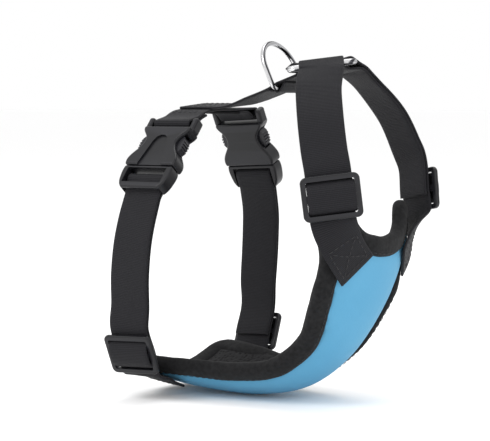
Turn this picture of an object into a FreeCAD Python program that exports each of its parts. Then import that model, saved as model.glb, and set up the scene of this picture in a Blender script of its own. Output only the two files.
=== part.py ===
import FreeCAD, Part
import math
import os

# No pull dog harness, worn shape, millimetres. +X runs to the dog's head, +Y to its left, +Z up.
# The layout below is measured from the lowest point of the chest pad, and every piece is moved
# at the end so that the origin is the centre of the girth opening.

V = FreeCAD.Vector
GIRTH_CENTRE = V(-32, 0, 84)

# webbing
WEB_WIDTH = 25.0
WEB_THICK = 1.5
LAYER_PITCH = 1.95          # centre to centre of two layers of one doubled strap
SOFT_GAP = 0.65             # air between a strap and the buckle's bar it passes round
RING_GAP = 0.75             # air between a strap and the ring it passes round

# chest pad: centre line X, centre line Z, half width, rise of the side edges above the centre line
PAD_STATIONS = [
    (-52, 4, 48, 14),
    (-20, 0.5, 42, 18),
    (15, 0, 35, 17),
    (45, 7, 32, 15),
    (70, 26, 31, 15),
    (86, 52, 38, 15),
    (94, 76, 43, 15),
    (97, 95, 46, 16),
    (97, 116, 47, 18),
]
SHELL_DEPTHS = (0.0, 1.2)
FOAM_DEPTHS = (1.6, 6.0)
LINING_DEPTHS = (6.4, 7.4)
BINDING_RADIUS = 5.0
BINDING_DEPTH = 3.7
BINDING_RINGS = 72
LAYER_INSET = 2 * BINDING_RADIUS + 1.4
NECKLINE_RADIUS = 53.6
NECKLINE_Z = 148.6
HORN_TIP = [(42.0, 97.0), (42.0, 102.5), (37.6, 107.6), (31.6, 105.0), (28.0, 98.2)]

# side release buckle, in its own frame: x across, y along the strap from the webbing bar, z outward.
# For each side: the bar's middle, the way down the strap, and the bar's own direction to the front.
# The left buckle hangs a little higher and turned, as the strap is twisted there.
BUCKLES = {
    -1: (V(-27.3, -31.0, 155.5), V(0, -0.65, -0.76), V(1, 0, 0)),
    1: (V(-28.8, 34.4, 161.4), V(0.04, 0.42, -0.907), V(0.998, 0.015, 0.05)),
}
BUCKLE_BAR_RADIUS = 1.7
SLOT_HALF = 13.6            # half the opening the webbing passes through, in socket and plug
SOCKET_WIDTH = 35.0
SOCKET_WAIST = 22.4
SOCKET_TOP = 4.8
SOCKET_END = 32.6
SOCKET_THICK = 10.0
RECESS = 1.1
CAVITY_WIDTH = 27.0
CAVITY_THICK = 6.0
WINDOW = (9.0, 22.4)
PLUG_TOP = 33.0
PLUG_END = 48.4
PLUG_THICK = 8.4
PLUG_SLOT = (34.7, 44.8)
PLUG_LIP = 1.5
PLUG_BAR_Y = 39.8
PLUG_BAR_Z = -1.0
PLUG_BAR_RADIUS = 1.5
PRONG_HINGE = V(10.6, 30.0, 0)
PRONG_PIN_RADIUS = 1.6
PIN_CLEARANCE = 0.1
PRONG_THICK = 5.2
HUB = (13.0, 27.6, 2.7)     # the plug's block inside the socket: half width, near end, half thickness

# strap slider, in its own frame: x across, y up the strap, z outward
SLIDER_WIDTH = 32.0
SLIDER_HEIGHT = 24.0
SLIDER_THICK = 2.6
SLIDER_RIM = 2.8
SLIDER_BAR = 3.0
SLIDER_STANDOFF = 3.55     # strap's centre to slider's mid plane
SLIDER_FLAT = 14.5          # the strap is flat this far each way from a slider's middle

# rings
WIRE_RADIUS = 1.75
BACK_PATH = [(-38, 166.25), (-24, 166.25), (-11, 166.3), (-2, 167.4), (11, 171.4), (19, 174.0),
             (24.5, 176.1)]
NECK_RING_REAR = V(41.5, 0, 186.4)
LEASH_BAR_AT = V(30.5, 0, 176.5)
LEASH_RING_HALF = 15.6
LEASH_RING_SIDE = 12.4
LEASH_RING_LEAN = 25.0
LEASH_WIRE_RADIUS = 1.4
LEASH_GAP = 0.45            # air between the leash ring's bar and the webbing over and under it
KEEPER_THICK = 0.9          # the tape that holds the leash ring's bar up against the back strap
NECK_RING_LENGTH = 35.2
NECK_RING_HALF = 20.3
NECK_RING_SLOPE = 8.0
BEND = 3.2                  # radius of the wire's bends

# sliders on their straps: point on the strap's centre, outward and up directions, for the left side
RIGHT_SHOULDER_SLIDER = (V(86.5, 44, 118), V(0.62, 0.78, -0.05), V(-0.12, 0.04, 0.99))
LEFT_SHOULDER_SLIDER = (V(86.5, 47.5, 118), V(0.42, 0.90, -0.05), V(-0.14, 0.10, 0.98))
GIRTH_SLIDER = (V(-34.5, 59.5, 27.5), V(0.06, 0.92, -0.38), V(-0.02, 0.38, 0.92))

# strap stations: x, y, z on the strap's centre, then its outward direction, y as for the left side
RIGHT_SHOULDER_ROWS = [
    (81, 42.5, 144, 0.57, 0.80, 0.08),
    (75.5, 37.5, 161, 0.54, 0.80, 0.18),
    (68, 27.5, 177, 0.45, 0.78, 0.40),
]
LEFT_SHOULDER_ROWS = [
    (80.5, 47.5, 144, 0.35, 0.93, 0.08),
    (75.5, 40.5, 161, 0.34, 0.90, 0.25),
    (68, 29, 177, 0.34, 0.80, 0.45),
]

# sewn on the pad: station along the pad (or one station for the girth), y, height over the pad
SHOULDER_LOWER = [(6.05, 24, 1.7), (6.65, 34, 3.0)]
GIRTH_LOWER = [(22, 4.7), (31, 4.8), (40, 4.9)]
GIRTH_STATION = 0.56

RIGHT_GIRTH_ROWS = [
    (-34.0, 65.2, 54, 0.05, 1, 0.0),
    (-32.8, 66.9, 70, 0.04, 1, 0.02),
    (-31.0, 67.1, 87, 0.02, 0.99, 0.1),
    (-28.8, 65.7, 102, 0.01, 0.94, 0.32),
]
LEFT_GIRTH_ROWS = [
    (-34.6, 64.8, 57, -0.02, 1, -0.02),
    (-33.2, 64.4, 74, -0.05, 1, 0.05),
    (-31.3, 62.6, 88.5, -0.04, 0.98, 0.16),
    (-29.2, 59.6, 102, -0.02, 0.94, 0.32),
]

# over the back: y, z, and the outward direction's y and z
ARCH_ROWS = [
    (-24.0, 160.2, -0.50, 0.86),
    (-17.0, 163.3, -0.26, 0.96),
    (-9.0, 164.2, -0.04, 1.0),
    (0.0, 164.2, 0.0, 1.0),
    (8.0, 164.2, 0.0, 1.0),
    (17.0, 164.3, 0.0, 1.0),
    (26.5, 164.6, 0.10, 1.0),
]
ARCH_OUT = {-1: V(0, -0.64, 0.77), 1: V(0, 0.34, 0.94)}


def blend_rows(rows, per_span):
    """Smooth rows of numbers by a curve that passes through each of them."""
    out = []
    for i in range(len(rows) - 1):
        a, b = rows[max(i - 1, 0)], rows[i]
        c, d = rows[i + 1], rows[min(i + 2, len(rows) - 1)]
        for k in range(per_span):
            t = k / per_span
            out.append(tuple(
                0.5 * (2 * q + (r - p) * t + (2 * p - 5 * q + 4 * r - s) * t * t
                       + (3 * q - p - 3 * r + s) * t ** 3)
                for p, q, r, s in zip(a, b, c, d)
            ))
    out.append(tuple(rows[-1]))
    return out


def curve(points, closed=False, at=None):
    spline = Part.BSplineCurve()
    if at is None:
        spline.interpolate(points, PeriodicFlag=closed)
    else:
        spline.interpolate(Points=points, Parameters=at)
    return spline.toShape()


def solid_of(faces):
    shell = Part.makeShell(faces)
    shell.sewShape()
    solid = Part.makeSolid(shell)
    if solid.Volume < 0:
        solid.reverse()
    return solid


def ribbon(points, normals, width=WEB_WIDTH, thick=WEB_THICK):
    """A band of webbing along points, its faces square to normals."""
    rails = [[], [], [], []]
    last = len(points) - 1
    for i, (p, n) in enumerate(zip(points, normals)):
        along = (points[min(i + 1, last)] - points[max(i - 1, 0)]).normalize()
        across = along.cross(n).normalize()
        out = across.cross(along).normalize()
        for rail, (u, w) in zip(rails, ((1, 1), (1, -1), (-1, -1), (-1, 1))):
            rail.append(p + across * (u * width / 2) + out * (w * thick / 2))
    at = [0.0]
    for a, b in zip(points, points[1:]):
        at.append(at[-1] + (b - a).Length)
    edges = [curve(rail, at=at) for rail in rails]
    faces = []
    for i in range(4):
        surface = Part.BSplineSurface()
        poles = [edges[j].Curve.getPoles() for j in (i, (i + 1) % 4)]
        base = edges[i].Curve
        surface.buildFromPolesMultsKnots(
            poles, [2, 2], base.getMultiplicities(), [0.0, 1.0], base.getKnots(),
            False, False, 1, base.Degree,
        )
        faces.append(surface.toShape())
    for end in (0, -1):
        corners = [rail[end] for rail in rails]
        faces.append(Part.Face(Part.makePolygon(corners + corners[:1])))
    return solid_of(faces)


def doubled(rows, bar, along, out, radius, single, per_span=5):
    """A strap laid double up rows of (point, normal) and turned round a bar.

    along is the strap's direction as it leaves the bar, out the outer side there. The first rows up to
    number single are one layer, and the inner layer ends over them.
    """
    smooth = blend_rows([(*p, *n) for p, n in rows], per_span)
    outer, inner = [], []
    for i, row in enumerate(smooth):
        n = V(*row[3:]).normalize()
        outer.append((V(*row[:3]), n))
        if i / per_span > single:
            inner.append((V(*row[:3]) - n * LAYER_PITCH, n * -1))
    path = outer + turn_round(bar, out, along * -1, radius) + inner[::-1]
    return ribbon([p for p, n in path], [n for p, n in path])


def flat_band(path, across, width, thick=WEB_THICK):
    """A band whose whole path lies in one plane, extruded across it."""
    left, right = [], []
    last = len(path) - 1
    for i, p in enumerate(path):
        along = (path[min(i + 1, last)] - path[max(i - 1, 0)]).normalize()
        out = across.cross(along).normalize()
        left.append(p + out * (thick / 2))
        right.append(p - out * (thick / 2))
    edges = [curve(left), Part.makeLine(left[-1], right[-1]),
             curve(right[::-1]), Part.makeLine(right[0], left[0])]
    face = Part.Face(Part.Wire(Part.__sortEdges__(edges)))
    face.translate(across * (-width / 2))
    return face.extrude(across * width)


def turn_round(centre, start, way, radius, steps=8):
    """Half a turn from the start side, by way of the way side, as (point, outward) pairs."""
    turn = []
    for k in range(steps + 1):
        angle = math.pi * k / steps
        spoke = start * math.cos(angle) + way * math.sin(angle)
        turn.append((centre + spoke * radius, spoke))
    return turn


def placed(shape, origin, x, y, z):
    """Move a shape from its own frame to the axes x, y and z at origin."""
    m = FreeCAD.Matrix(x.x, y.x, z.x, origin.x, x.y, y.y, z.y, origin.y,
                       x.z, y.z, z.z, origin.z, 0, 0, 0, 1)
    moved = shape.copy()
    moved.transformShape(m)
    return moved


def box(x0, x1, y0, y1, z0, z1):
    return Part.makeBox(x1 - x0, y1 - y0, z1 - z0, V(x0, y0, z0))


def plate(corners, z0, z1, smooth=False):
    """A flat outline, straight or curved, between two heights."""
    points = [V(x, y, z0) for x, y in corners]
    wire = Part.Wire(curve(points, True)) if smooth else Part.makePolygon(points + points[:1])
    return Part.Face(wire).extrude(V(0, 0, z1 - z0))


def rounded(shape, radius, direction=None):
    """Fillet the edges that run along one direction, or every edge, if the shape allows it."""
    edges = shape.Edges
    if direction is not None:
        edges = [e for e in edges if e.Curve.TypeId == "Part::GeomLine"
                 and abs(e.tangentAt(e.FirstParameter).dot(direction)) > 0.999]
    try:
        made = shape.makeFillet(radius, edges)
    except Part.OCCError:
        return shape
    return made if made.isValid() and made.Volume > 0 else shape


# ---- chest pad

PAD = blend_rows(PAD_STATIONS, 12)


def pad_row(s):
    at = max(0.0, min(s, len(PAD_STATIONS) - 1.0)) * 12
    i = min(int(at), len(PAD) - 2)
    t = at - i
    return [a + (b - a) * t for a, b in zip(PAD[i], PAD[i + 1])]


def pad_frame(s):
    """Centre line point and the unit vector from there to the inside of the pad."""
    x, z, half, rise = pad_row(s)
    before, after = pad_row(s - 0.2), pad_row(s + 0.2)
    along = V(after[0] - before[0], 0, after[1] - before[1]).normalize()
    return V(x, 0, z), V(-along.z, 0, along.x), half, rise


def on_pad(s, y, depth):
    """The point at a depth below the pad's outer face, and the unit outward vector there."""
    centre, inward, half, rise = pad_frame(s)
    slope = 2 * rise * y / half ** 2
    normal = (inward - V(0, slope, 0)).normalize()
    point = centre + V(0, y, 0) + inward * (rise * (y / half) ** 2)
    return point + normal * depth, normal * -1


def pad_height(y, z, depth):
    """The station at which the pad reaches height z at a given y."""
    low, high = 4.0, len(PAD_STATIONS) - 1.0
    for _ in range(40):
        middle = (low + high) / 2
        if on_pad(middle, y, depth)[0].z < z:
            low = middle
        else:
            high = middle
    return low


def pad_layer(depths):
    sections = []
    top = pad_height(0, 100, 0)
    spots = [0.43, 0.48, 0.60, 0.85] + [1.2 + 0.5 * k for k in range(11)] + [6.75, top]
    for s in spots:
        half = pad_row(s)[2] - LAYER_INSET
        half -= 7 * max(0.0, (0.60 - s) / 0.17) ** 2
        ys = [half * k / 5 for k in range(-5, 6)]
        low = [on_pad(s, y, depths[0])[0] for y in ys]
        high = [on_pad(s, y, depths[1])[0] for y in ys]
        sections.append(Part.Wire([
            curve(low), Part.makeLine(low[-1], high[-1]),
            curve(high[::-1]), Part.makeLine(high[0], low[0]),
        ]))
    layer = Part.makeLoft(sections, True, False)
    radius = NECKLINE_RADIUS + LAYER_INSET
    cutter = Part.makeCylinder(radius, 80, V(50, 0, NECKLINE_Z), V(1, 0, 0))
    return layer.cut(cutter)


def pad_binding():
    """The rolled edge, as one closed tube right round the pad."""
    side, edge = [], []
    for s in [0.45] + [0.9 + 0.4 * k for k in range(15)]:
        side.append(on_pad(s, pad_row(s)[2] - BINDING_RADIUS, BINDING_DEPTH))
    for y, z in HORN_TIP:
        side.append(on_pad(pad_height(y, z, BINDING_DEPTH), y, BINDING_DEPTH))
    for y in (22, 11, 0):
        radius = NECKLINE_RADIUS + BINDING_RADIUS
        z = NECKLINE_Z - math.sqrt(radius ** 2 - y ** 2)
        side.append(on_pad(pad_height(y, z, BINDING_DEPTH), y, BINDING_DEPTH))
    for y in (0, 18, 34):
        edge.append(on_pad(0.16, y, BINDING_DEPTH))
    edge.append(on_pad(0.22, pad_row(0.2)[2] - BINDING_RADIUS - 2.5, BINDING_DEPTH))
    half = edge + side
    other = [(V(p.x, -p.y, p.z), V(n.x, -n.y, n.z)) for p, n in half[-2:0:-1]]
    path = curve([p for p, n in half + other], True)
    rings = []
    for k in range(BINDING_RINGS):
        share = k / BINDING_RINGS
        at = path.FirstParameter + (path.LastParameter - path.FirstParameter) * share
        centre, along = path.valueAt(at), path.tangentAt(at).normalize()
        near = min(half + other, key=lambda row: (row[0] - centre).Length)[1]
        u = along.cross(near).normalize()
        w = u.cross(along)
        turn = [2 * math.pi * j / 12 for j in range(12)]
        ring = [centre + (u * math.cos(t) + w * math.sin(t)) * BINDING_RADIUS for t in turn]
        rings.append(Part.Wire(curve(ring, True)))
    return Part.makeLoft(rings, True, False, True)


# ---- hardware

def buckle_frame(side):
    bar, y, forward = BUCKLES[side]
    y = V(y).normalize()
    x = forward * side
    x = (x - y * x.dot(y)).normalize()
    return V(bar), x, y, x.cross(y)


def waisted(right, z0, z1):
    """A plate that is the same left and right, its sides smooth curves and its ends straight."""
    right = [V(x, y, z0) for x, y in right]
    left = [V(-p.x, p.y, z0) for p in right[::-1]]
    wire = Part.Wire([curve(right), Part.makeLine(right[-1], left[0]),
                      curve(left), Part.makeLine(left[-1], right[0])])
    return Part.Face(wire).extrude(V(0, 0, z1 - z0))


def buckle_socket():
    w, waist, t = SOCKET_WIDTH / 2, SOCKET_WAIST / 2, SOCKET_THICK / 2
    right = [(w - 1.2, SOCKET_TOP), (w - 1.6, 7.4), (waist + 1.8, 11.0), (waist, 15.0),
             (waist + 0.8, 19.0), (w - 2.6, 23.5), (w - 0.2, 28.0), (w - 0.6, SOCKET_END)]
    body = rounded(waisted(right, -t, t), 1.2)
    c, h = CAVITY_WIDTH / 2, CAVITY_THICK / 2
    body = body.cut(box(-c, c, 8.5, SOCKET_END + 1, -h, h))
    for side in (-1, 1):
        x0, x1 = sorted((side * (c - 2.5), side * (w + 1)))
        body = body.cut(box(x0, x1, *WINDOW, -h, h))
    edge = [(1.4, 11.4), (3.6, 12.8), (5.0, 16.0), (8.6, SOCKET_END + 1)]
    recess = edge + [(-x, y) for x, y in edge[::-1]]
    body = body.cut(plate(recess, t - RECESS, t + 1))
    for side in (-1, 1):
        x0, x1 = sorted((side * SLOT_HALF, side * w))
        lug = rounded(box(x0, x1, -3.0, SOCKET_TOP + 1.6, -3.4, 3.4), 1.5)
        body = body.fuse(lug)
    bar = Part.makeCylinder(BUCKLE_BAR_RADIUS, 2 * SLOT_HALF + 2, V(-SLOT_HALF - 1, 0, 0), V(1, 0, 0))
    return body.fuse(bar).removeSplitter()


def buckle_plug():
    w, t = SOCKET_WIDTH / 2 - 0.3, PLUG_THICK / 2
    right = [(w - 0.6, PLUG_TOP), (w, 36.0), (w - 0.3, 40), (w - 1.6, 45.0), (w - 4.4, PLUG_END)]
    base = rounded(waisted(right, -t, t), 1.1)
    base = base.cut(box(-SLOT_HALF, SLOT_HALF, *PLUG_SLOT, -t - 1, t + 1))
    base = base.cut(box(-SLOT_HALF, SLOT_HALF, PLUG_SLOT[1] - 0.1, PLUG_END + 1, -t - 1, t - PLUG_LIP))
    bar = Part.makeCylinder(PLUG_BAR_RADIUS, 2 * SLOT_HALF + 1,
                            V(-SLOT_HALF - 0.5, PLUG_BAR_Y, PLUG_BAR_Z), V(1, 0, 0))
    tongue = rounded(box(-3, 3, 15.5, PLUG_TOP, -1.6, 1.6), 0.8)
    half, near, thick = HUB
    hub = box(-half, half, near, PLUG_TOP + 1, -thick, thick)
    seat = PRONG_PIN_RADIUS + PIN_CLEARANCE
    for side in (-1, 1):
        x = side * PRONG_HINGE.x
        hub = hub.cut(box(x - 3.2, x + 3.2, near - 1, PRONG_HINGE.y, -thick - 1, thick + 1))
        hub = hub.cut(Part.makeCylinder(seat, 2 * thick + 2, V(x, PRONG_HINGE.y, -thick - 1)))
    return base.fuse([bar, tongue, hub]).removeSplitter()


def buckle_prong(side):
    h = PRONG_THICK / 2
    arm = [(9.0, PRONG_HINGE.y), (9.0, 13.5), (10.6, 9.6), (13.4, 10.4), (15.2, 12.6),
           (15.9, 16.0), (15.4, 19.4), (13.6, 21.6), (12.0, 22.2), (12.0, PRONG_HINGE.y)]
    body = plate([(side * x, y) for x, y in arm], -h, h)
    pin = Part.makeCylinder(PRONG_PIN_RADIUS, PRONG_THICK, V(side * PRONG_HINGE.x, PRONG_HINGE.y, -h))
    for y in (12.4, 14.2, 16.0, 17.8, 19.6):
        x0, x1 = sorted((side * 15.0, side * 16.5))
        body = body.cut(box(x0, x1, y, y + 0.8, -h - 1, h + 1))
    return body.fuse(pin).removeSplitter()


def slider_frame():
    w, h, t = SLIDER_WIDTH / 2, SLIDER_HEIGHT / 2, SLIDER_THICK / 2
    frame = rounded(box(-w, w, -h, h, -t, t), 3.4, V(0, 0, 1))
    frame = rounded(frame, 0.9)
    bar = SLIDER_BAR / 2
    for y0, y1 in ((bar, h - SLIDER_RIM), (SLIDER_RIM - h, -bar)):
        slot = rounded(box(-w + SLIDER_RIM, w - SLIDER_RIM, y0, y1, -t - 1, t + 1), 1.0, V(0, 0, 1))
        frame = frame.cut(slot)
    return frame


def slider_wrap():
    """The webbing where it comes up through the slider and over its middle bar."""
    top = SLIDER_THICK / 2 + SOFT_GAP + WEB_THICK / 2
    low = 0.05
    path = [V(0, -7.2, low), V(0, -5.8, top * 0.55), V(0, -3.6, top), V(0, 0, top),
            V(0, 3.6, top), V(0, 5.8, top * 0.55), V(0, 7.2, low)]
    path = [V(*row) for row in blend_rows([tuple(p) for p in path], 3)]
    return flat_band(path, V(1, 0, 0), WEB_WIDTH)


def wire_loop(corners, bend, thick):
    """A closed bent wire through corners, each rounded to its bend radius."""
    edges, starts, ends = [], [], []
    count = len(corners)
    for i, (corner, r) in enumerate(zip(corners, bend)):
        to_last = (corners[i - 1] - corner).normalize()
        to_next = (corners[(i + 1) % count] - corner).normalize()
        half = math.acos(max(-1, min(1, to_last.dot(to_next)))) / 2
        back = r / math.tan(half)
        a, b = corner + to_last * back, corner + to_next * back
        middle = corner + (to_last + to_next).normalize() * (r / math.sin(half) - r)
        edges.append(Part.Arc(a, middle, b).toShape())
        starts.append(a)
        ends.append(b)
    for i in range(count):
        a, b = ends[i], starts[(i + 1) % count]
        if (a - b).Length > 0.01:
            edges.append(Part.makeLine(a, b))
    path = Part.Wire(Part.__sortEdges__(edges))
    first = path.Edges[0]
    at, way = first.valueAt(first.FirstParameter), first.tangentAt(first.FirstParameter)
    ring = Part.Wire(Part.makeCircle(thick, at, way))
    return path.makePipeShell([ring], True, False)


def leash_ring():
    a, side = LEASH_RING_HALF, LEASH_RING_SIDE
    corners = [V(0, -a, 0), V(0, a, 0), V(0, a, side + a), V(0, -a, side + a)]
    ring = wire_loop(corners, [BEND, BEND, a - 0.01, a - 0.01], LEASH_WIRE_RADIUS)
    ring.rotate(V(0, 0, 0), V(0, 1, 0), -LEASH_RING_LEAN)
    ring.translate(LEASH_BAR_AT)
    return ring


def neck_ring_ahead():
    slope = math.radians(NECK_RING_SLOPE)
    return V(math.cos(slope), 0, math.sin(slope))


def neck_ring():
    ahead = neck_ring_ahead()
    front = NECK_RING_REAR + ahead * NECK_RING_LENGTH
    corners = [NECK_RING_REAR + V(0, -NECK_RING_HALF, 0), NECK_RING_REAR + V(0, NECK_RING_HALF, 0),
               front]
    return wire_loop(corners, [BEND, BEND, BEND], WIRE_RADIUS)


# ---- straps

def slider_place(side, point, outward, up):
    """Where a slider sits on its strap: point on the strap's centre, outward and up directions."""
    point, outward, up = (V(v.x, side * v.y, v.z) for v in (point, outward, up))
    up = up.normalize()
    return point, (outward - up * outward.dot(up)).normalize(), up


def slider_flat(point, outward, up):
    return [(point + up * (SLIDER_FLAT * k), outward) for k in (-1, 0, 1)]


def shoulder_strap(side, slider, rows):
    """From its sewn end on the pad, up through the slider and over the side of the neck ring."""
    ahead = neck_ring_ahead()
    rear = NECK_RING_REAR + V(0, side * NECK_RING_HALF, 0)
    front = NECK_RING_REAR + ahead * NECK_RING_LENGTH
    way = (front - rear).normalize()
    bar = (rear + front) * 0.5
    out = V(0.1, side * 0.3, 1)
    out = (out - way * out.dot(way)).normalize()
    along = out.cross(way)
    if along.y * side < 0:
        along = along * -1
    stations = []
    for s, y, clear in SHOULDER_LOWER:
        stations.append(on_pad(s, side * y, -clear))
    stations += slider_flat(*slider)
    for x, y, z, nx, ny, nz in rows:
        stations.append((V(x, side * y, z), V(nx, side * ny, nz).normalize()))
    stations.append((bar + along * 7 + out * 1.2, out))
    radius = WIRE_RADIUS + RING_GAP + WEB_THICK / 2
    return doubled(stations, bar, along, out, radius, len(SHOULDER_LOWER) + 0.7)


def girth_strap(side, slider, rows):
    """From under the pad, up through the slider and round the bar of the buckle's plug."""
    origin, x, y, z = buckle_frame(side)
    bar = origin + y * PLUG_BAR_Y + z * PLUG_BAR_Z
    stations = []
    for reach, clear in GIRTH_LOWER:
        stations.append(on_pad(GIRTH_STATION, side * reach, -clear))
    stations += slider_flat(*slider)
    for px, py, pz, nx, ny, nz in rows:
        stations.append((V(px, side * py, pz), V(nx, side * ny, nz).normalize()))
    stations.append((bar + y * 9 - z * 0.9, z))
    radius = PLUG_BAR_RADIUS + SOFT_GAP + WEB_THICK / 2
    return doubled(stations, bar, y, z, radius, len(GIRTH_LOWER) + 0.7)


def girth_top_strap():
    """Over the back from one buckle to the other, turned under and back at each buckle's bar."""
    radius = BUCKLE_BAR_RADIUS + SOFT_GAP + WEB_THICK / 2
    middle = (BUCKLES[-1][0].x + BUCKLES[1][0].x) / 2
    arch = []
    for y, z, ny, nz in ARCH_ROWS:
        lean = (BUCKLES[1][0].x - middle) * y / BUCKLES[1][0].y
        arch.append((V(middle + lean, y, z), V(0, ny, nz).normalize()))
    ends = {}
    for side, rows in ((-1, arch), (1, arch[::-1])):
        bar, x, _, _ = buckle_frame(side)
        out = (ARCH_OUT[side] - x * ARCH_OUT[side].dot(x)).normalize()
        way = out.cross(x)
        way = way if way.y * side > 0 else way * -1
        lap = [(p - n * LAYER_PITCH, n * -1) for p, n in rows[:2]]
        ends[side] = turn_round(bar, out, way, radius) + lap
    rows = ends[-1][::-1] + arch + ends[1]
    return ribbon([p for p, n in rows], [n for p, n in rows])


def around_leash_bar(radius, angles):
    turn = [math.radians(angle) for angle in angles]
    return [LEASH_BAR_AT + V(math.cos(a), 0, math.sin(a)) * radius for a in turn]


def back_strap():
    """Along the spine, over the leash ring's bar, then round the neck ring's rear bar."""
    radius = WIRE_RADIUS + RING_GAP + WEB_THICK / 2
    reach = LEASH_WIRE_RADIUS + LEASH_GAP
    path = [V(x, 0, z) for x, z in BACK_PATH]
    path += around_leash_bar(reach + WEB_THICK / 2, (130, 118, 106))
    ahead = (NECK_RING_REAR - V(0, 0, radius) - path[-1]).normalize()
    up = V(-ahead.z, 0, ahead.x)
    path += [NECK_RING_REAR - up * radius - ahead * 3]
    path += [p for p, _ in turn_round(NECK_RING_REAR, up * -1, ahead, radius)]
    path += [NECK_RING_REAR + up * (radius - 1.2) - ahead * 4.5]
    strap = flat_band(path, V(0, 1, 0), WEB_WIDTH)
    lean = math.degrees(math.atan2(ahead.z, ahead.x))
    under = around_leash_bar(reach + KEEPER_THICK / 2, [lean - angle for angle in (140, 115, 90, 65, 40)])
    first = V(path[6].x, 0, path[6].z - WEB_THICK / 2 - KEEPER_THICK / 3)
    last = path[9] + ahead * 6 - up * (WEB_THICK / 2 + KEEPER_THICK / 3)
    keeper = flat_band([first] + under + [last], V(0, 1, 0), WEB_WIDTH - 0.6, KEEPER_THICK)
    return strap.fuse(keeper).removeSplitter()


def export(name, shape):
    shape = shape.copy()
    shape.translate(GIRTH_CENTRE * -1)
    if not shape.isValid() or shape.Volume <= 0 or len(shape.Solids) != 1:
        print(name, "valid", shape.isValid(), "volume", shape.Volume, "solids", len(shape.Solids))
    shape.exportStep("parts/" + name + ".step")


os.makedirs("parts", exist_ok=True)

export("pad_outer_shell", pad_layer(SHELL_DEPTHS))
export("pad_foam_core", pad_layer(FOAM_DEPTHS))
export("pad_mesh_lining", pad_layer(LINING_DEPTHS))
export("pad_edge_binding", pad_binding())
export("girth_top_strap", girth_top_strap())
export("back_strap", back_strap())
export("leash_ring", leash_ring())
export("neck_ring", neck_ring())

for label, side, at, rows, girth_rows in (
        ("right", -1, RIGHT_SHOULDER_SLIDER, RIGHT_SHOULDER_ROWS, RIGHT_GIRTH_ROWS),
        ("left", 1, LEFT_SHOULDER_SLIDER, LEFT_SHOULDER_ROWS, LEFT_GIRTH_ROWS)):
    frame = buckle_frame(side)
    export(label + "_buckle_socket", placed(buckle_socket(), *frame))
    export(label + "_buckle_plug", placed(buckle_plug(), *frame))
    for end, across in (("front", side), ("rear", -side)):
        export(label + "_buckle_" + end + "_prong", placed(buckle_prong(across), *frame))
    shoulder = slider_place(side, *at)
    girth = slider_place(side, *GIRTH_SLIDER)
    export(label + "_shoulder_strap", shoulder_strap(side, shoulder, rows))
    export(label + "_girth_strap", girth_strap(side, girth, girth_rows))
    for place, (point, normal, up) in (("shoulder", shoulder), ("girth", girth)):
        centre = point + normal * SLIDER_STANDOFF
        axes = (up.cross(normal), up, normal)
        export(label + "_" + place + "_slider", placed(slider_frame(), centre, *axes))
        export(label + "_" + place + "_slider_wrap", placed(slider_wrap(), centre, *axes))
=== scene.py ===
import math
import random

import bmesh
import bpy
from mathutils import Matrix, Vector, noise


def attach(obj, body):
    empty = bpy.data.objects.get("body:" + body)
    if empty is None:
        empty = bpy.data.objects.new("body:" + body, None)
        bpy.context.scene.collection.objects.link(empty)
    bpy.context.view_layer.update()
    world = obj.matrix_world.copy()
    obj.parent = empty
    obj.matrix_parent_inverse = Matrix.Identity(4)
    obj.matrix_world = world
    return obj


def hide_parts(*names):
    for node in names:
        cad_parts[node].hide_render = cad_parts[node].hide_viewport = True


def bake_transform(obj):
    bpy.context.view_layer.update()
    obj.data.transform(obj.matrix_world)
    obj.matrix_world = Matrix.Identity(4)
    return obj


# No pull dog harness. Lengths are millimetres in the layout below, measured from the lowest point of
# the chest pad, and place() turns them into the frame's metres and origin.

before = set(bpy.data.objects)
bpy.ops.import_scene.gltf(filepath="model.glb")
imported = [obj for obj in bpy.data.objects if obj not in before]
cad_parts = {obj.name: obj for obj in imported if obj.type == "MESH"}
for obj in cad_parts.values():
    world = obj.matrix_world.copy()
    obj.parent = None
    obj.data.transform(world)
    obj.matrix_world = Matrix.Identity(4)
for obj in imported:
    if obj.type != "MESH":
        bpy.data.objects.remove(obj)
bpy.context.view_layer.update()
random.seed(7)

MM = 0.001
GIRTH_CENTRE = Vector((-32, 0, 84))

WEB_WIDTH = 25.0
WEB_THICK = 1.5
LAYER_PITCH = 1.95
RING_GAP = 0.75
SOFT_GAP = 0.65
WIRE_RADIUS = 1.75

# the pad from the rear to the neckline: along, up, half its width, and how far its sides rise
PAD_STATIONS = [
    (-52, 4, 48, 14),
    (-20, 0.5, 42, 18),
    (15, 0, 35, 17),
    (45, 7, 32, 15),
    (70, 26, 31, 15),
    (86, 52, 38, 15),
    (94, 76, 43, 15),
    (97, 95, 46, 16),
    (97, 116, 47, 18),
]
ROLL_HALF_WIDTH = 6.0
ROLL_HALF_THICK = 4.3
ROLL_DEPTH = 3.7
FAR_ROLL_LIFT = 3.0     # how far the left side's roll stands out of the chest, more than the right side's
COVER_TUCK = 5.6        # how far the cover goes in under the roll
NEAR_ROLL_SPREAD = 2.5  # how far the right side's roll is pulled out sideways
NECKLINE_RADIUS = 53.6
NECKLINE_Z = 148.6
HORN_TIP = [(41.0, 97.0), (41.0, 102.5), (37.0, 107.0), (31.6, 104.6), (27.5, 98.0)]

# for each side: the buckle bar's middle, the way down the strap, the bar's own direction to the front
BUCKLES = {
    -1: (Vector((-27.3, -31.0, 155.5)), Vector((0, -0.65, -0.76)), Vector((1, 0, 0))),
    1: (Vector((-28.8, 34.4, 161.4)), Vector((0.04, 0.42, -0.907)), Vector((0.998, 0.015, 0.05))),
}
BUCKLE_BAR_RADIUS = 1.7
PLUG_BAR_Y = 39.8
PLUG_BAR_Z = -1.0
PLUG_BAR_RADIUS = 1.5

SLIDER_STANDOFF = 3.55
SLIDER_FLAT = 14.5      # half of a strap's straight stretch at a slider
SLIDER_THICK = 2.6
WRAP_WIDTH = 26.3

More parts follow.
